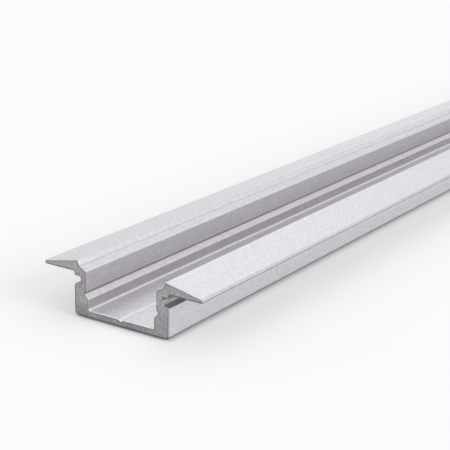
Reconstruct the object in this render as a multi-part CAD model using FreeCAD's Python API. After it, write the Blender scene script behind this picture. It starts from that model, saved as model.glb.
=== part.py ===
import FreeCAD
import Part
import math
import os

# Recessed profile for an LED strip: one aluminium extrusion with the same section all along.
# A channel drops into a slot in a panel and two sloping flanges rest on the panel's face.
# X runs along the profile, Y across it and Z up, out of the open side of the channel.
# The origin is under the middle of the base. Lengths are in millimetres.

# Length of the cut piece
profile_length = 500.0

# Widths
channel_width = 11.0          # floor for a strip 10 wide, with half a millimetre each side
lower_wall_thickness = 2.5    # beside the strip, out to the face that stands in the slot
cover_ledge_width = 0.36      # how far each upper wall stands back from the lower wall
cover_groove_depth = 0.28     # undercut behind each upper wall for the foot of a cover
lead_in_width = 1.10          # gentle slope from each upper wall out to the steep facet
crest_width = 0.42            # steep facet from that slope out to the crest
flange_reach = 5.25           # each flange beyond the face that stands in the slot
clip_notch_depth = 1.08       # groove in the outer face for a mounting clip

# Heights, on the inside from the base up to the crest
base_thickness = 1.08
lower_wall_height = 1.61      # floor to the foot of the cover ledge
cover_ledge_rise = 0.71       # foot of the ledge to the root of the cover groove
cover_groove_height = 0.39    # root of the groove to its lip, under a slanting roof
upper_wall_height = 2.81
lead_in_rise = 0.62
crest_rise = 0.83

# Heights, on the outside from the crest down
flange_fall = 1.19            # the top of a flange falls this much from the crest to its edge
flange_edge_thickness = 0.56
clip_lip_height = 0.58        # lip between the underside of the flange and the clip notch
clip_notch_height = 1.04      # at the root of the notch
clip_notch_fall = 0.21        # the lower side of the notch falls outwards by this much

# Groove along the middle of the floor, which centres the strip and a drill
centre_groove_width = 0.84
centre_groove_depth = 0.28

# Radii of the section's edges and corners
base_edge_radius = 0.6
notch_edge_radius = 0.1
notch_foot_radius = 0.1
notch_root_radius = 0.4
flange_root_radius = 0.3
flange_edge_radius = 0.27
crest_radius = 0.12
lead_in_bend_radius = 0.5
upper_wall_edge_radius = 0.2
cover_groove_lip_radius = 0.08
cover_groove_root_radius = 0.08
cover_ledge_edge_radius = 0.2
floor_corner_radius = 0.25
centre_groove_edge_radius = 0.08
centre_groove_root_radius = 0.08

# Half widths, from the middle outwards
channel_side = channel_width / 2
upper_wall_side = channel_side + cover_ledge_width
cover_groove_side = upper_wall_side + cover_groove_depth
lead_in_side = upper_wall_side + lead_in_width
crest_side = lead_in_side + crest_width
body_side = channel_side + lower_wall_thickness
clip_notch_side = body_side - clip_notch_depth
flange_side = body_side + flange_reach

# Levels on the inside, from the floor up
ledge_foot_level = base_thickness + lower_wall_height
groove_root_level = ledge_foot_level + cover_ledge_rise
groove_lip_level = groove_root_level + cover_groove_height
upper_wall_level = groove_lip_level + upper_wall_height
lead_in_level = upper_wall_level + lead_in_rise
crest_level = lead_in_level + crest_rise

# Levels on the outside, from the crest down
flange_edge_level = crest_level - flange_fall
flange_under_level = flange_edge_level - flange_edge_thickness
notch_top_level = flange_under_level - clip_lip_height
notch_foot_level = notch_top_level - clip_notch_height
notch_edge_level = notch_foot_level - clip_notch_fall


def half_section():
    """Corners of one side, from the base edge round the flange to the centre groove.

    Each corner is its half width, its level and the radius that rounds it.
    """
    outside = [
        (body_side, 0.0, base_edge_radius),
        (body_side, notch_edge_level, notch_edge_radius),
        (clip_notch_side, notch_foot_level, notch_foot_radius),
        (clip_notch_side, notch_top_level, notch_root_radius),
        (body_side, notch_top_level, notch_edge_radius),
        (body_side, flange_under_level, flange_root_radius),
        (flange_side, flange_under_level, flange_edge_radius),
        (flange_side, flange_edge_level, flange_edge_radius),
    ]
    inside = [
        (crest_side, crest_level, crest_radius),
        (lead_in_side, lead_in_level, lead_in_bend_radius),
        (upper_wall_side, upper_wall_level, upper_wall_edge_radius),
        (upper_wall_side, groove_lip_level, cover_groove_lip_radius),
        (cover_groove_side, groove_root_level, cover_groove_root_radius),
        (channel_side, ledge_foot_level, cover_ledge_edge_radius),
        (channel_side, base_thickness, floor_corner_radius),
        (centre_groove_width / 2, base_thickness, centre_groove_edge_radius),
    ]
    return outside + inside


def section_corners():
    """The closed section, with its second side mirrored from the first."""
    side = half_section()
    centre = [(0.0, base_thickness - centre_groove_depth, centre_groove_root_radius)]
    other_side = [(-across, level, radius) for across, level, radius in reversed(side)]
    return side + centre + other_side


def corner_arc(before, corner, after, radius):
    """Arc of the given radius that touches both runs beside a corner."""
    back = (before - corner).normalize()
    on = (after - corner).normalize()
    half_angle = back.getAngle(on) / 2
    reach = radius / math.tan(half_angle)
    middle_distance = radius / math.sin(half_angle) - radius
    towards_middle = (back + on).normalize()
    return Part.Arc(
        corner + back * reach,
        corner + towards_middle * middle_distance,
        corner + on * reach,
    )


def rounded_wire(corners, start_x):
    """Closed wire across X at start_x: an arc at each corner and a straight run between arcs."""
    points = [FreeCAD.Vector(start_x, across, level) for across, level, _ in corners]
    radii = [radius for _, _, radius in corners]
    count = len(points)
    arcs = []
    for index in range(count):
        before = points[index - 1]
        after = points[(index + 1) % count]
        arcs.append(corner_arc(before, points[index], after, radii[index]))
    edges = []
    for index in range(count):
        next_arc = arcs[(index + 1) % count]
        edges.append(arcs[index].toShape())
        edges.append(Part.LineSegment(arcs[index].EndPoint, next_arc.StartPoint).toShape())
    return Part.Wire(edges)


def make_channel_profile():
    """The whole extrusion, sawn square at both ends."""
    section = Part.Face(rounded_wire(section_corners(), -profile_length / 2))
    return section.extrude(FreeCAD.Vector(profile_length, 0, 0))


os.makedirs("parts", exist_ok=True)
make_channel_profile().exportStep("parts/channel_profile.step")
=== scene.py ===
"""Recessed profile for an LED strip: one satin anodised aluminium extrusion on a pale floor.

X runs along the profile, Y across it and Z up, in metres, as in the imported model.
"""

import math

import bmesh
import bpy
import numpy as np
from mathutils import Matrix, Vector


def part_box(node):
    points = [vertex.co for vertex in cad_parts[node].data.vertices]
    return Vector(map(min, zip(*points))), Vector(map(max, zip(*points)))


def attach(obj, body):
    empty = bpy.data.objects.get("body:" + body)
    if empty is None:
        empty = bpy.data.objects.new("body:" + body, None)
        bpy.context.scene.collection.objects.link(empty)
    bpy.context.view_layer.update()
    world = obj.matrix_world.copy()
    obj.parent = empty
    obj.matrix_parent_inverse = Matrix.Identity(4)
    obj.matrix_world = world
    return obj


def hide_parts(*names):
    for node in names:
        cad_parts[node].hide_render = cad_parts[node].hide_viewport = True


bl_info = {
    "name": "Recessed LED strip profile",
    "version": (1, 0, 0),
    "blender": (4, 5, 0),
    "location": "3D View > Sidebar > LED profile",
    "description": "Makes the extruded channel, its anodised and sawn finishes, and the stage",
    "category": "Add Mesh",
}

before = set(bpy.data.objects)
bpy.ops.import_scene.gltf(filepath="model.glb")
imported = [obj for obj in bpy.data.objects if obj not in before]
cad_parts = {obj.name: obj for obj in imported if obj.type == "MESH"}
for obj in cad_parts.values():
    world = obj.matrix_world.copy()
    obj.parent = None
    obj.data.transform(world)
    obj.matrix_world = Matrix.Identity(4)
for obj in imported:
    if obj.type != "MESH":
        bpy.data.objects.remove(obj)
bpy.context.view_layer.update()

NODE = "channel_profile"
BODY = "root"
NODE_LOW, NODE_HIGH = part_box(NODE)

# Points on each rounded corner of the section
BEND_STEPS = 9

# Points nearer to each other than this, in metres, are one
SAME_PLACE = 1e-6

# Tone of the plain skin and of the plain sawn metal, beside which the other tones are given
PLAIN = 1.0

# Cells a metre of each pattern along X, Y and Z
CLOUD_CELLS = (150.0, 350.0, 350.0)
DIE_LINE_CELLS = (8.0, 3000.0, 3000.0)
GRAIN_CELLS = (1300.0, 2600.0, 2600.0)
PATCH_CELLS = (450.0, 450.0, 450.0)
MOTTLE_CELLS = (3000.0, 3000.0, 3000.0)

# Darkest and brightest tone that each pattern gives
DIE_LINE_TONES = (0.97, 1.03)
GRAIN_TONES = (0.93, 1.07)
PATCH_TONES = (0.9, 1.1)
MOTTLE_TONES = (0.76, 1.24)
ARC_TONES = (0.98, 1.02)

# The die lines vary the roughness of the skin by this much either way
ROUGHNESS_SPREAD = 0.04

# Heights of the bumps, in metres, and how strongly they show
GRAIN_HEIGHT = 0.00001
MOTTLE_HEIGHT = 0.00003
BUMP_STRENGTH = 0.4

# The blade's arcs: how far apart they are and where their axis lies, in metres, and how uneven they are
ARC_PITCH = 0.00035
ARC_AXIS = (0.0, 0.035, -0.06)
ARC_UNEVENNESS = 2.0

# Most of a noise's values lie between these two
NOISE_RANGE = (0.3, 0.7)

# A mix of two colours goes over from the first to the second between these shares
MIX_RANGE = (0.35, 0.65)

# Azimuth and elevation of each lamp in degrees. Azimuth 0 is the -Y side and 90 the +X side.
SIDE_LAMP_PLACE = (0.0, 25.0)
REAR_LAMP_PLACE = (120.0, 40.0)
END_LAMP_PLACE = (90.0, 40.0)


def millimetres(name, description, size):
    """A length property whose default is given in millimetres and kept in metres."""
    return bpy.props.FloatProperty(
        name=name, description=description, default=size / 1000, min=0.0, unit="LENGTH", precision=5
    )


def colour(name, description, red_green_blue):
    """A colour property."""
    return bpy.props.FloatVectorProperty(
        name=name, description=description, default=red_green_blue, subtype="COLOR", size=3, min=0.0, max=1.0
    )


def share(name, description, value):
    """A property from 0 to 1."""
    return bpy.props.FloatProperty(
        name=name, description=description, default=value, min=0.0, max=1.0, subtype="FACTOR"
    )


def tone(name, description, value):
    """A property for how bright a surface is beside the plain skin, which is 1."""
    return bpy.props.FloatProperty(name=name, description=description, default=value, min=0.0, max=1.4)


def angle(name, description, degrees):
    """An angle property whose default is given in degrees."""
    return bpy.props.FloatProperty(
        name=name, description=description, default=math.radians(degrees), subtype="ANGLE"
    )


def lamp_strength(name, description, value):
    """A property for the strength of a lamp."""
    return bpy.props.FloatProperty(name=name, description=description, default=value, min=0.0)


class SectionSizes(bpy.types.PropertyGroup):
    """Sizes of the extruded section, from the middle outwards and from the base up."""

    channel_width: millimetres("Channel width", "Floor between the lower walls", 11.0)
    lower_wall: millimetres("Lower wall", "Thickness beside the strip", 2.5)
    cover_ledge: millimetres("Cover ledge", "Each upper wall stands back this far", 0.36)
    cover_groove: millimetres("Cover groove", "Depth of the groove for the foot of a cover", 0.28)
    lead_in: millimetres("Lead-in", "Width of the gentle slope above the upper wall", 1.10)
    crest: millimetres("Crest", "Width of the steep facet up to the crest", 0.42)
    flange_reach: millimetres("Flange reach", "Flange beyond the outer face", 5.25)
    clip_notch: millimetres("Clip notch", "Depth of the notch in the outer face", 1.08)
    base_thickness: millimetres("Base thickness", "Floor above the underside", 1.08)
    lower_wall_height: millimetres("Lower wall height", "Floor to the foot of the ledge", 1.61)
    cover_ledge_rise: millimetres("Ledge rise", "Foot of the ledge to the root of the cover groove", 0.71)
    cover_groove_height: millimetres("Groove height", "Root of the cover groove to its lip", 0.39)
    upper_wall_height: millimetres("Upper wall height", "Groove to the lead-in", 2.81)
    lead_in_rise: millimetres("Lead-in rise", "Height of the gentle slope", 0.62)
    crest_rise: millimetres("Crest rise", "Height of the steep facet", 0.83)
    flange_fall: millimetres("Flange fall", "Crest to the flange's edge", 1.19)
    flange_edge: millimetres("Flange edge", "Thickness at the flange's edge", 0.56)
    clip_lip: millimetres("Clip lip", "Flange to the clip notch", 0.58)
    clip_notch_height: millimetres("Notch height", "Clip notch at its root", 1.04)
    clip_notch_fall: millimetres("Notch fall", "The notch's lower side falls outwards", 0.21)
    centre_groove_width: millimetres("Centre groove width", "Groove in the floor", 0.84)
    centre_groove_depth: millimetres("Centre groove depth", "Groove in the floor", 0.28)

    base_edge_radius: millimetres("Base edge radius", "Outer side to the underside", 0.6)
    notch_edge_radius: millimetres("Notch edge radius", "Both edges of the clip notch", 0.1)
    notch_foot_radius: millimetres("Notch foot radius", "Lower corner in the clip notch", 0.1)
    notch_root_radius: millimetres("Notch root radius", "Upper corner in the clip notch", 0.4)
    flange_root_radius: millimetres("Flange root radius", "Outer side to the flange's underside", 0.3)
    flange_edge_radius: millimetres("Flange edge radius", "Nose of the flange", 0.27)
    crest_radius: millimetres("Crest radius", "Crest between flange and steep facet", 0.12)
    lead_in_bend_radius: millimetres("Lead-in bend radius", "Steep facet to the lead-in", 0.5)
    upper_wall_edge_radius: millimetres("Upper wall edge radius", "Lead-in to the upper wall", 0.2)
    cover_groove_lip_radius: millimetres("Groove lip radius", "Upper wall to the cover groove", 0.08)
    cover_groove_root_radius: millimetres("Groove root radius", "Deepest place of the cover groove", 0.08)
    cover_ledge_edge_radius: millimetres("Ledge edge radius", "Ledge to the lower wall", 0.2)
    floor_corner_radius: millimetres("Floor corner radius", "Lower wall to the floor", 0.25)
    centre_groove_edge_radius: millimetres("Centre groove edge radius", "Edges of the centre groove", 0.08)
    centre_groove_root_radius: millimetres("Centre groove root radius", "Bottom of the centre groove", 0.08)

    cut_edge_break: millimetres("Cut edge break", "Rounding of the sawn edges", 0.1)
    # Painted shade: a dark line drawn on each cut along its edges
    painted_cut_shade_width: millimetres("Painted cut shade", "Painted dark line of shade along the edges of a cut", 0.14)


class FinishColours(bpy.types.PropertyGroup):
    """Colours and gloss of the anodised skin and of the sawn ends, and the tones that paint light and shade
    on them.
    """

    skin: colour("Anodised skin", "Colour of the anodised surface", (0.69, 0.679, 0.722))
    skin_roughness: share("Skin roughness", "Roughness of the anodised surface", 0.5)
    skin_cloud: colour("Skin clouds", "Colour of faint clouds in the anodised surface", (0.688, 0.684, 0.702))
    # Painted shade: a warmer, slightly darker tint about the cover ledges stands in for the colour of shade
    # inside the channel.
    channel_shade_tint: colour("Channel shade tint", "Tint of the skin about the cover ledges", (0.96, 0.933, 0.936))
    # Painted shade: the skin on the lower walls, the flange edges and the lead-in bends is darkened where
    # shade falls.
    painted_face_shade: share("Painted face shade", "Brightness of the lower walls, the flange edges and the lead-in bends", 0.91)
    # Painted shade: the skin in the notches, in the grooves and on the underside is darkened where shade
    # falls.
    painted_recess_shade: share("Painted recess shade", "Brightness of the skin in the notches and grooves and underneath", 0.76)
    # Painted shade: the skin under the flanges and deep in the cover grooves is darkened where shade falls.
    deep: share("Deep painted shade", "Brightness of the skin under the flanges and deep in the cover grooves", 0.45)
    # Painted shadow: a dark line low on the bends to the underside stands in for the shadow of the gap under
    # the base.
    painted_foot_shadow: share("Painted foot shadow", "Brightness of the dark line low on the bends to the underside", 0.15)
    painted_foot_shadow_height: millimetres("Painted foot shadow height", "Above this level those bends are plain", 0.37)
    # Painted light: the skin on the floor, the ledges and the steep facets is brightened as if more light
    # fell there.
    painted_face_light: tone("Painted face light", "Brightness of the skin on the floor, the ledges and the steep facets", 1.06)
    # Painted highlights: the notch foot, the ledge edges, the floor corners and the centre groove are
    # brightened.
    painted_highlight: tone("Painted highlight line", "Brightness of the skin on the lines with a painted highlight", 1.25)
    # The rounded sawn edges are darker bare metal, with a painted highlight where they face up and painted
    # shade where they face down.
    bare_edge: share("Bare edge", "Brightness of a cut's rounded edge beside the skin that it joins", 0.8)
    painted_edge_light: share("Painted edge light", "How much brighter it is looking up, and duller looking down", 0.5)
    cut_mauve: colour("Sawn metal, mauve", "Warmer colour of the sawn ends", (0.39, 0.36, 0.39))
    cut_grey: colour("Sawn metal, grey", "Cooler colour of the sawn ends", (0.38, 0.388, 0.372))
    cut_roughness: share("Cut roughness", "Roughness of the bare sawn ends", 0.5)
    # Painted shade: the sawn ends darken towards the underside, as shade near the floor would make them
    painted_cut_foot_shade: share("Painted cut foot shade", "Brightness of the sawn ends at the underside", 0.8)
    painted_cut_foot_shade_height: millimetres("Painted cut foot shade height", "The sawn ends darken from this level down", 2.5)
    # Painted shade: how dark the line along the edges of a cut is drawn
    painted_cut_shade: share("Painted cut shade", "Brightness of the dark line along the edges of a cut", 0.6)


class StageSettings(bpy.types.PropertyGroup):
    """Floor, light and camera."""

    floor: colour("Floor", "Colour of the floor", (0.94, 0.94, 0.94))
    floor_lift: share("Floor lift", "How far the open floor is seen lifted towards white", 0.37)
    lift_reach: millimetres("Lift reach", "The lift fades on floor that lies this near to the profile", 1.5)
    floor_gap: millimetres("Floor gap", "Gap that shows under a profile that is never quite straight", 0.2)
    surround: share("Surround", "Strength of the even white light from all round", 0.8)
    white_below: angle("White below", "Up to this elevation the surround is seen as pure white", 10.0)
    plain_above: angle("Plain above", "From this elevation up the surround is seen as it is", 25.0)
    side_lamp: lamp_strength("Side lamp", "The lamp beside the profile", 1.2)
    rear_lamp: lamp_strength("Rear lamp", "The lamp beyond the profile", 0.18)
    end_lamp: lamp_strength("End lamp", "The lamp above the far end", 0.07)
    lamp_spread: angle("Lamp spread", "How wide the lamps look from the profile", 30.0)
    lens: bpy.props.FloatProperty(
        name="Lens", description="Focal length in millimetres on a 36 mm sensor", default=102.36, min=1.0
    )
    camera_from_end: bpy.props.FloatVectorProperty(
        name="Camera place",
        description="From the middle of the near end's lower edge",
        default=(-0.12653, -0.09894, 0.06524),
        size=3,
        subtype="TRANSLATION",
        unit="LENGTH",
    )
    camera_tilt: angle("Camera tilt", "Turn about X, up from straight down", 72.478)
    camera_roll: angle("Camera roll", "Turn about Y", -1.208)
    camera_heading: angle("Camera heading", "Turn about Z", -56.501)


def unit(vectors):
    """The vectors divided by their lengths."""
    return vectors / np.linalg.norm(vectors, axis=-1, keepdims=True)


def section_corners(sizes, finish):
    """Corners of the closed section, one row each.

    A row holds the place across, the level, the radius, the tone of the rounded corner and the tone of
    the face from it to the next corner. One side runs from the base edge round the flange to the
    centre groove. The other is its mirror, so there each face's tone moves on by one corner.
    """
    channel = sizes.channel_width / 2
    upper = channel + sizes.cover_ledge
    groove = upper + sizes.cover_groove
    lead_in = upper + sizes.lead_in
    crest = lead_in + sizes.crest
    body = channel + sizes.lower_wall
    notch = body - sizes.clip_notch
    edge = body + sizes.flange_reach

    floor = sizes.base_thickness
    ledge_foot = floor + sizes.lower_wall_height
    ledge_top = ledge_foot + sizes.cover_ledge_rise
    groove_lip = ledge_top + sizes.cover_groove_height
    upper_top = groove_lip + sizes.upper_wall_height
    lead_in_top = upper_top + sizes.lead_in_rise
    crest_top = lead_in_top + sizes.crest_rise
    edge_top = crest_top - sizes.flange_fall
    under = edge_top - sizes.flange_edge
    notch_top = under - sizes.clip_lip
    notch_foot = notch_top - sizes.clip_notch_height
    notch_edge = notch_foot - sizes.clip_notch_fall

    # Besides plain, the tones in this table paint light and shade: painted shade in recesses, under the
    # flanges and underneath, and painted highlights on lines and faces.
    plain = PLAIN
    painted_recess_shade = finish.painted_recess_shade
    deep = finish.deep
    bright = finish.painted_highlight
    painted_face_light = finish.painted_face_light
    painted_face_shade = finish.painted_face_shade
    side = np.array(
        [
            (body, 0.0, sizes.base_edge_radius, finish.painted_foot_shadow, plain),
            (body, notch_edge, sizes.notch_edge_radius, plain, painted_recess_shade),
            (notch, notch_foot, sizes.notch_foot_radius, bright, plain),
            (notch, notch_top, sizes.notch_root_radius, painted_recess_shade, deep),
            (body, notch_top, sizes.notch_edge_radius, deep, deep),
            (body, under, sizes.flange_root_radius, deep, deep),
            (edge, under, sizes.flange_edge_radius, deep, plain),
            (edge, edge_top, sizes.flange_edge_radius, painted_face_shade, plain),
            (crest, crest_top, sizes.crest_radius, plain, painted_face_light),
            (lead_in, lead_in_top, sizes.lead_in_bend_radius, painted_face_shade, plain),
            (upper, upper_top, sizes.upper_wall_edge_radius, plain, plain),
            (upper, groove_lip, sizes.cover_groove_lip_radius, painted_recess_shade, painted_recess_shade),
            (groove, ledge_top, sizes.cover_groove_root_radius, deep, painted_face_light),
            (channel, ledge_foot, sizes.cover_ledge_edge_radius, bright, painted_face_shade),
            (channel, floor, sizes.floor_corner_radius, bright, painted_face_light),
            (sizes.centre_groove_width / 2, floor, sizes.centre_groove_edge_radius, painted_recess_shade, bright),
        ]
    )
    middle = (0.0, floor - sizes.centre_groove_depth, sizes.centre_groove_root_radius, painted_recess_shade, bright)
    mirrored = side[::-1] * (-1.0, 1.0, 1.0, 1.0, 1.0)
    corners = np.concatenate([side, [middle], mirrored])
    # The last face, the underside, takes the painted shade of the recesses
    corners[:, 4] = np.concatenate([side[:, 4], side[::-1, 4], [painted_recess_shade]])
    return corners


def rounded_outline(corners, inset):
    """Points and outward normals of the closed outline, rounded and then moved in by the inset.

    An arc's centre lies on the bisector of its corner, at the radius over the sine of half the corner's
    angle. Its directions turn evenly from the normal of the run before to the normal of the run after.
    At an outer corner a point is the centre plus the radius less the inset times the direction, and the
    radius there is at least the inset. At an inner corner it is the centre minus their sum.
    """
    place = corners[:, :2]
    back = unit(np.roll(place, 1, axis=0) - place)
    onward = unit(np.roll(place, -1, axis=0) - place)
    half_angle = np.arccos(np.sum(back * onward, axis=1)) / 2
    first = np.arctan2(back[:, 0], -back[:, 1])
    last = np.arctan2(-onward[:, 0], onward[:, 1])
    turn = (last - first + np.pi) % (2 * np.pi) - np.pi
    outer = turn > 0
    radius = np.where(outer, np.maximum(corners[:, 2], inset), corners[:, 2])
    centre = place + unit(back + onward) * (radius / np.sin(half_angle))[:, None]
    reach = np.where(outer, radius - inset, -radius - inset)
    direction = first[:, None] + turn[:, None] * np.linspace(0.0, 1.0, BEND_STEPS)
    normals = np.stack([np.cos(direction), np.sin(direction)], axis=-1)
    points = centre[:, None, :] + reach[:, None, None] * normals
    return points.reshape(-1, 2), normals.reshape(-1, 2)


def near_ledge(outline, sizes):
    """How near each point of the outline lies to a cover ledge.

    It is 1 at the middle of the ledge and falls evenly to 0 at the top of the upper walls, and as fast
    downwards. Outside the channel, past the cover grooves or under the floor, it is 0.
    """
    across, level = outline.T
    half_width = sizes.channel_width / 2 + sizes.cover_ledge + sizes.cover_groove
    inside = (np.abs(across) < half_width) & (level > sizes.base_thickness / 2)
    ledge = sizes.base_thickness + sizes.lower_wall_height + sizes.cover_ledge_rise / 2
    reach = sizes.cover_ledge_rise / 2 + sizes.cover_groove_height + sizes.upper_wall_height
    return inside * (1 - np.minimum(np.abs(level - ledge) / reach, 1.0))


def face_tones(corners, outline, sizes, finish):
    """Tone of each face round the section: those of a corner's bend, then the one on to the next corner.

    The bends to the underside keep their own tone, a painted shadow line, up to the height of that line and
    are plain above.
    """
    bends = np.repeat(corners[:, 3:4], BEND_STEPS - 1, axis=1)
    tones = np.concatenate([bends, corners[:, 4:]], axis=1).ravel()
    level = (outline[:, 1] + np.roll(outline[:, 1], -1)) / 2
    above_line = (level > finish.painted_foot_shadow_height) & (level < sizes.base_edge_radius)
    return np.where(above_line, PLAIN, tones)


def ring_quads(rings, count):
    """Quads between neighbouring rings of count points, wound so that they face outwards."""
    ring = np.arange(rings - 1)[:, None] * count
    here = np.arange(count)[None, :]
    after = (here + 1) % count
    quads = np.stack([ring + here, ring + after, ring + count + after, ring + count + here], axis=-1)
    return quads.reshape(-1, 4)


def weld(mesh):
    """Join the points of sharp corners that lie on each other."""
    form = bmesh.new()
    form.from_mesh(mesh)
    bmesh.ops.remove_doubles(form, verts=form.verts, dist=SAME_PLACE)
    form.to_mesh(mesh)
    form.free()


def make_extrusion(sizes, finish):
    """The profile's mesh: rings of the section along X, quads between them and a flat face at each end.

    From each end inwards the rings are the inner and outer side of the painted dark line of shade along the
    cut's edges, then the whole section one edge break further in, so the sawn edges are rounded off between
    the last two.
    """
    corners = section_corners(sizes, finish)
    edge_break = sizes.cut_edge_break
    inner = edge_break + sizes.painted_cut_shade_width
    low = NODE_LOW.x
    high = NODE_HIGH.x
    along = np.array([low, low, low + edge_break, high - edge_break, high, high])
    insets = [inner, edge_break, 0.0, 0.0, edge_break, inner]
    across = np.stack([rounded_outline(corners, inset)[0] for inset in insets])
    rings, count = across.shape[:2]
    vertices = np.concatenate([np.broadcast_to(along[:, None, None], (rings, count, 1)), across], axis=2)
    normals = np.zeros_like(vertices)
    normals[:2, :, 0] = -1.0
    outline, outline_normals = rounded_outline(corners, 0.0)
    normals[2:4, :, 1:] = outline_normals
    normals[4:, :, 0] = 1.0

    quads = ring_quads(rings, count)
    near_end = np.arange(count)[::-1]
    far_end = np.arange(count) + (rings - 1) * count
    mesh = bpy.data.meshes.new("profile_extrusion")
    mesh.from_pydata(
        vertices.reshape(-1, 3).tolist(), [], quads.tolist() + [near_end.tolist(), far_end.tolist()]
    )

    # The skin's tone for each face, which holds its painted light and shade
    skin_tone = face_tones(corners, outline, sizes, finish)
    # Painted shade along the edges of each cut
    line = np.full(count, finish.painted_cut_shade)
    # Rounded edges of the cuts: darker bare metal with the section's painted tones, a painted highlight
    # facing up and painted shade facing down.
    edge = skin_tone * (finish.bare_edge + finish.painted_edge_light * outline_normals[:, 1])
    tones = np.concatenate([line, edge, skin_tone, edge, line, [PLAIN, PLAIN]])
    nearness = np.tile(near_ledge(outline, sizes), rings)
    # The second material, the sawn metal, is on both painted dark lines of shade and both end faces
    sawn = np.concatenate([np.ones(count), np.zeros(3 * count), np.ones(count + 2)]).astype(np.int32)
    mesh.attributes.new("tone", "FLOAT", "FACE").data.foreach_set("value", tones)
    mesh.attributes.new("near_ledge", "FLOAT", "POINT").data.foreach_set("value", nearness)
    mesh.attributes.new("wanted_normal", "FLOAT_VECTOR", "POINT").data.foreach_set("vector", normals.ravel())
    mesh.polygons.foreach_set("material_index", sawn)
    mesh.polygons.foreach_set("use_smooth", np.ones(len(mesh.polygons), bool))
    weld(mesh)
    kept = np.empty(len(mesh.vertices) * 3, np.float32)
    mesh.attributes["wanted_normal"].data.foreach_get("vector", kept)
    mesh.attributes.remove(mesh.attributes["wanted_normal"])
    mesh.normals_split_custom_set_from_vertices(kept.reshape(-1, 3).tolist())
    mesh.update()
    return mesh


def add_node(holder, kind, place, **settings):
    """A node of this kind at this place in a material or the world, with these settings."""
    node = holder.node_tree.nodes.new(kind)
    node.location = place
    for name, value in settings.items():
        setattr(node, name, value)
    return node


def stretched_noise(material, place, cells_per_metre, detail):
    """Noise on the object's own coordinates, with its own number of cells a metre along each axis."""
    coordinates = add_node(material, "ShaderNodeTexCoord", (place[0] - 500, place[1]))
    mapping = add_node(material, "ShaderNodeMapping", (place[0] - 250, place[1]))
    mapping.inputs["Scale"].default_value = cells_per_metre
    noise = add_node(material, "ShaderNodeTexNoise", place)
    noise.inputs["Scale"].default_value = 1.0
    noise.inputs["Detail"].default_value = detail
    links = material.node_tree.links
    links.new(coordinates.outputs["Object"], mapping.inputs["Vector"])
    links.new(mapping.outputs["Vector"], noise.inputs["Vector"])
    return noise.outputs["Fac"]


def blade_arcs(material, place):
    """Even arcs about the blade's axis, which lies along X. The texture's own pitch is pi over 10."""
    coordinates = add_node(material, "ShaderNodeTexCoord", (place[0] - 500, place[1]))
    mapping = add_node(material, "ShaderNodeMapping", (place[0] - 250, place[1]))
    mapping.inputs["Location"].default_value = [-along for along in ARC_AXIS]
    arcs = add_node(material, "ShaderNodeTexWave", place, wave_type="RINGS", rings_direction="X")
    arcs.inputs["Scale"].default_value = math.pi / 10 / ARC_PITCH
    arcs.inputs["Distortion"].default_value = ARC_UNEVENNESS
    links = material.node_tree.links
    links.new(coordinates.outputs["Object"], mapping.inputs["Vector"])
    links.new(mapping.outputs["Vector"], arcs.inputs["Vector"])
    return arcs.outputs["Fac"]


def ranged(material, place, value, low, high):
    """A noise or pattern brought to the range from low to high."""
    node = add_node(material, "ShaderNodeMapRange", place)
    node.inputs["From Min"].default_value = NOISE_RANGE[0]
    node.inputs["From Max"].default_value = NOISE_RANGE[1]
    node.inputs["To Min"].default_value = low
    node.inputs["To Max"].default_value = high
    material.node_tree.links.new(value, node.inputs["Value"])
    return node.outputs["Result"]


# Painted shade: a surface darkens towards the underside
def painted_shade_to_underside(material, place, lowest, height):
    """A value that rises evenly from the lowest at the underside to 1 at this height."""
    coordinates = add_node(material, "ShaderNodeTexCoord", (place[0] - 500, place[1]))
    parts = add_node(material, "ShaderNodeSeparateXYZ", (place[0] - 250, place[1]))
    node = add_node(material, "ShaderNodeMapRange", place)
    node.inputs["From Max"].default_value = height
    node.inputs["To Min"].default_value = lowest
    links = material.node_tree.links
    links.new(coordinates.outputs["Object"], parts.inputs["Vector"])
    links.new(parts.outputs["Z"], node.inputs["Value"])
    return node.outputs["Result"]


def product(holder, place, first, second):
    """The first value times the second."""
    node = add_node(holder, "ShaderNodeMath", place, operation="MULTIPLY")
    holder.node_tree.links.new(first, node.inputs[0])
    holder.node_tree.links.new(second, node.inputs[1])
    return node.outputs["Value"]


def held_value(material, place, name):
    """A value that the mesh holds for its faces or points."""
    return add_node(material, "ShaderNodeAttribute", place, attribute_name=name).outputs["Fac"]


def between(material, place, share_of_second, first, second):
    """A colour that goes over from the first to the second as the share of the second grows."""
    ramp = add_node(material, "ShaderNodeValToRGB", place)
    low, high = ramp.color_ramp.elements
    low.position = MIX_RANGE[0]
    low.color = (*first, 1.0)
    high.position = MIX_RANGE[1]
    high.color = (*second, 1.0)
    material.node_tree.links.new(share_of_second, ramp.inputs["Fac"])
    return ramp.outputs["Color"]


def tinted(material, place, colour_in, tint):
    """The colour times the tint."""
    node = add_node(material, "ShaderNodeVectorMath", place, operation="MULTIPLY")
    material.node_tree.links.new(colour_in, node.inputs[0])
    material.node_tree.links.new(tint, node.inputs[1])
    return node.outputs["Vector"]


def lit_colour(material, place, colour_in, strength):
    """The colour scaled by the strength, joined to the shader."""
    scaled = add_node(material, "ShaderNodeVectorMath", place, operation="SCALE")
    links = material.node_tree.links
    links.new(colour_in, scaled.inputs[0])
    links.new(strength, scaled.inputs["Scale"])
    links.new(scaled.outputs["Vector"], material.node_tree.nodes["Principled BSDF"].inputs["Base Color"])


def rough_surface(material, place, height, distance):
    """Bumps of the pattern's heights times the distance, joined to the shader."""
    bump = add_node(material, "ShaderNodeBump", place)
    bump.inputs["Strength"].default_value = BUMP_STRENGTH
    bump.inputs["Distance"].default_value = distance
    links = material.node_tree.links
    links.new(height, bump.inputs["Height"])
    links.new(bump.outputs["Normal"], material.node_tree.nodes["Principled BSDF"].inputs["Normal"])


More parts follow.
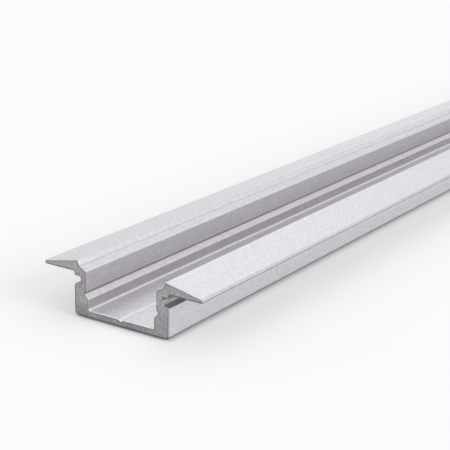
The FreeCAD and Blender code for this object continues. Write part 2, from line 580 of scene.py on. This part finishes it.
def metal(name):
    """A new metallic material and its shader."""
    material = bpy.data.materials.new(name)
    material.use_nodes = True
    shader = material.node_tree.nodes["Principled BSDF"]
    shader.inputs["Metallic"].default_value = 1.0
    return material, shader


def anodised_skin(finish):
    """Satin anodised aluminium with fine grain, faint clouds and the lines that a die leaves."""
    material, shader = metal("anodised_skin")
    clouds = stretched_noise(material, (-1100, 900), CLOUD_CELLS, detail=2.0)
    die_lines = stretched_noise(material, (-1100, 500), DIE_LINE_CELLS, detail=3.0)
    grain = stretched_noise(material, (-1100, 100), GRAIN_CELLS, detail=2.0)
    lines_tone = ranged(material, (-800, 500), die_lines, *DIE_LINE_TONES)
    grain_tone = ranged(material, (-800, 100), grain, *GRAIN_TONES)
    texture = product(material, (-600, 300), lines_tone, grain_tone)
    # The held tone paints light and shade onto the skin
    strength = product(material, (-450, 200), texture, held_value(material, (-800, 700), "tone"))
    cloudy = between(material, (-800, 1000), clouds, finish.skin, finish.skin_cloud)
    # Painted shade tint, strongest at the cover ledges
    nearness = held_value(material, (-1100, 1300), "near_ledge")
    tint = between(material, (-800, 1300), nearness, (1.0, 1.0, 1.0), finish.channel_shade_tint)
    lit_colour(material, (-300, 300), tinted(material, (-450, 1000), cloudy, tint), strength)
    smoothest = finish.skin_roughness - ROUGHNESS_SPREAD
    roughest = finish.skin_roughness + ROUGHNESS_SPREAD
    roughness = ranged(material, (-800, -200), die_lines, smoothest, roughest)
    material.node_tree.links.new(roughness, shader.inputs["Roughness"])
    rough_surface(material, (-300, -200), grain, GRAIN_HEIGHT)
    return material


def sawn_metal(finish):
    """Bare aluminium as a saw leaves it: a lustreless mottled grey, faint arcs from the blade, and painted
    shade.
    """
    material, shader = metal("sawn_metal")
    shader.inputs["Roughness"].default_value = finish.cut_roughness
    patches = stretched_noise(material, (-1100, 900), PATCH_CELLS, detail=1.0)
    mottle = stretched_noise(material, (-1100, 500), MOTTLE_CELLS, detail=3.0)
    arcs = blade_arcs(material, (-1100, 100))
    patch_tone = ranged(material, (-800, 800), patches, *PATCH_TONES)
    mottle_tone = ranged(material, (-800, 500), mottle, *MOTTLE_TONES)
    arcs_tone = ranged(material, (-800, 100), arcs, *ARC_TONES)
    fine = product(material, (-600, 300), mottle_tone, arcs_tone)
    texture = product(material, (-600, 600), patch_tone, fine)
    # Painted shade on the sawn ends near the underside, and the painted dark line along their edges
    foot = painted_shade_to_underside(material, (-800, -100), finish.painted_cut_foot_shade, finish.painted_cut_foot_shade_height)
    shade = product(material, (-600, 0), foot, held_value(material, (-800, 700), "tone"))
    strength = product(material, (-450, 200), texture, shade)
    mixed = between(material, (-800, 1000), patches, finish.cut_mauve, finish.cut_grey)
    lit_colour(material, (-300, 300), mixed, strength)
    rough_surface(material, (-300, -200), mottle, MOTTLE_HEIGHT)
    return material


def link_object(name, data):
    """A new object at the origin that shows this data."""
    made = bpy.data.objects.new(name, data)
    bpy.context.scene.collection.objects.link(made)
    return made


def seen_rays(holder, place):
    """1 for what the camera or the metal sees, and 0 for light that only falls on a surface."""
    path = add_node(holder, "ShaderNodeLightPath", (place[0] - 200, place[1]))
    seen = add_node(holder, "ShaderNodeMath", place, operation="MAXIMUM")
    holder.node_tree.links.new(path.outputs["Is Camera Ray"], seen.inputs[0])
    holder.node_tree.links.new(path.outputs["Is Glossy Ray"], seen.inputs[1])
    return seen.outputs["Value"]


def pale_floor(stage):
    """A rough floor that the camera and the metal see lifted towards white, except close to the profile."""
    material = bpy.data.materials.new("pale_floor")
    material.use_nodes = True
    links = material.node_tree.links
    shader = material.node_tree.nodes["Principled BSDF"]
    shader.inputs["Base Color"].default_value = (*stage.floor, 1.0)
    shader.inputs["Roughness"].default_value = 0.9
    shader.inputs["Specular IOR Level"].default_value = 0.2
    white = add_node(material, "ShaderNodeEmission", (0, -300))
    openness = add_node(material, "ShaderNodeAmbientOcclusion", (-400, 900))
    openness.inputs["Distance"].default_value = stage.lift_reach
    lift = add_node(material, "ShaderNodeMath", (-200, 900), operation="MULTIPLY")
    links.new(openness.outputs["AO"], lift.inputs[0])
    lift.inputs[1].default_value = stage.floor_lift
    seen_lift = product(material, (0, 700), seen_rays(material, (-200, 600)), lift.outputs["Value"])
    mixed = add_node(material, "ShaderNodeMixShader", (200, 300))
    links.new(seen_lift, mixed.inputs["Fac"])
    links.new(shader.outputs["BSDF"], mixed.inputs[1])
    links.new(white.outputs["Emission"], mixed.inputs[2])
    links.new(mixed.outputs["Shader"], material.node_tree.nodes["Material Output"].inputs["Surface"])
    return material


def make_floor(stage):
    """A wide pale floor, a small gap below the base."""
    reach = 30.0
    level = -stage.floor_gap
    mesh = bpy.data.meshes.new("floor")
    corners = [(-reach, -reach, level), (reach, -reach, level), (reach, reach, level), (-reach, reach, level)]
    mesh.from_pydata(corners, [], [(0, 1, 2, 3)])
    mesh.materials.append(pale_floor(stage))
    return link_object("floor", mesh)


def make_lamp(name, place, strength, spread):
    """A far soft lamp at this azimuth and elevation."""
    azimuth, elevation = place
    lamp = bpy.data.lights.new(name, "SUN")
    lamp.energy = strength
    lamp.angle = spread
    made = link_object(name, lamp)
    made.rotation_euler = (math.radians(90 - elevation), 0.0, math.radians(azimuth))


def make_world(stage):
    """Even white light from all round, which is seen as pure white about the horizon."""
    world = bpy.data.worlds.new("studio")
    bpy.context.scene.world = world
    world.use_nodes = True
    background = world.node_tree.nodes["Background"]
    background.inputs["Color"].default_value = (1.0, 1.0, 1.0, 1.0)
    direction = add_node(world, "ShaderNodeTexCoord", (-1000, 0))
    parts = add_node(world, "ShaderNodeSeparateXYZ", (-800, 0))
    lowness = add_node(world, "ShaderNodeMapRange", (-600, 0))
    lowness.inputs["From Min"].default_value = math.sin(stage.white_below)
    lowness.inputs["From Max"].default_value = math.sin(stage.plain_above)
    lowness.inputs["To Min"].default_value = 1.0
    lowness.inputs["To Max"].default_value = 0.0
    strength = add_node(world, "ShaderNodeMapRange", (-200, 0))
    strength.inputs["To Min"].default_value = stage.surround
    strength.inputs["To Max"].default_value = 1.0
    links = world.node_tree.links
    links.new(direction.outputs["Generated"], parts.inputs["Vector"])
    links.new(parts.outputs["Z"], lowness.inputs["Value"])
    white = product(world, (-400, 0), lowness.outputs["Result"], seen_rays(world, (-600, 300)))
    links.new(white, strength.inputs["Value"])
    links.new(strength.outputs["Result"], background.inputs["Strength"])


def make_camera(stage):
    """The photograph's view of the near end, as a real place, turn and lens."""
    camera = bpy.data.cameras.new("camera")
    camera.sensor_width = 36.0
    camera.lens = stage.lens
    camera.clip_start = 0.01
    camera.clip_end = 50.0
    made = link_object("camera", camera)
    near_end = (NODE_LOW.x, 0.0, NODE_LOW.z)
    made.location = [end + away for end, away in zip(near_end, stage.camera_from_end)]
    made.rotation_euler = (stage.camera_tilt, stage.camera_roll, stage.camera_heading)
    bpy.context.scene.camera = made


class MakeExtrusion(bpy.types.Operator):
    """Make the extruded channel with its anodised skin and sawn ends"""

    bl_idname = "led_profile.make_extrusion"
    bl_label = "Make the extrusion"

    def execute(self, context):
        """Build the mesh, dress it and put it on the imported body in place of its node."""
        finish = context.scene.led_profile_finish
        mesh = make_extrusion(context.scene.led_profile_section, finish)
        mesh.materials.append(anodised_skin(finish))
        mesh.materials.append(sawn_metal(finish))
        extrusion = link_object("profile_extrusion", mesh)
        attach(extrusion, BODY)
        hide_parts(NODE)
        return {"FINISHED"}


class MakeStage(bpy.types.Operator):
    """Make the floor, the lights and the camera"""

    bl_idname = "led_profile.make_stage"
    bl_label = "Make the stage"

    def execute(self, context):
        """Lay the floor, hang the lamps, light the world and place the camera."""
        stage = context.scene.led_profile_stage
        make_floor(stage)
        make_lamp("side_lamp", SIDE_LAMP_PLACE, stage.side_lamp, stage.lamp_spread)
        make_lamp("rear_lamp", REAR_LAMP_PLACE, stage.rear_lamp, stage.lamp_spread)
        make_lamp("end_lamp", END_LAMP_PLACE, stage.end_lamp, stage.lamp_spread)
        make_world(stage)
        make_camera(stage)
        context.scene.view_settings.view_transform = "Standard"
        return {"FINISHED"}


class ProfilePanel(bpy.types.Panel):
    """Lists the sizes, the finishes and the stage, with a button for each operator"""

    bl_idname = "VIEW3D_PT_led_profile"
    bl_label = "LED profile"
    bl_space_type = "VIEW_3D"
    bl_region_type = "UI"
    bl_category = "LED profile"

    def draw(self, context):
        """Show each group of settings above the button that uses it."""
        scene = context.scene
        for settings, operator in (
            (scene.led_profile_section, None),
            (scene.led_profile_finish, MakeExtrusion),
            (scene.led_profile_stage, MakeStage),
        ):
            column = self.layout.column()
            for name in settings.__annotations__:
                column.prop(settings, name)
            if operator:
                column.operator(operator.bl_idname)


CLASSES = (SectionSizes, FinishColours, StageSettings, MakeExtrusion, MakeStage, ProfilePanel)


def register():
    """Register the classes and keep their settings on the scene."""
    for made in CLASSES:
        bpy.utils.register_class(made)
    bpy.types.Scene.led_profile_section = bpy.props.PointerProperty(type=SectionSizes)
    bpy.types.Scene.led_profile_finish = bpy.props.PointerProperty(type=FinishColours)
    bpy.types.Scene.led_profile_stage = bpy.props.PointerProperty(type=StageSettings)


def unregister():
    """Undo register."""
    del bpy.types.Scene.led_profile_stage
    del bpy.types.Scene.led_profile_finish
    del bpy.types.Scene.led_profile_section
    for made in reversed(CLASSES):
        bpy.utils.unregister_class(made)


def main():
    """Make every piece and the stage."""
    register()
    bpy.ops.led_profile.make_extrusion()
    bpy.ops.led_profile.make_stage()


if __name__ == "__main__":
    main()
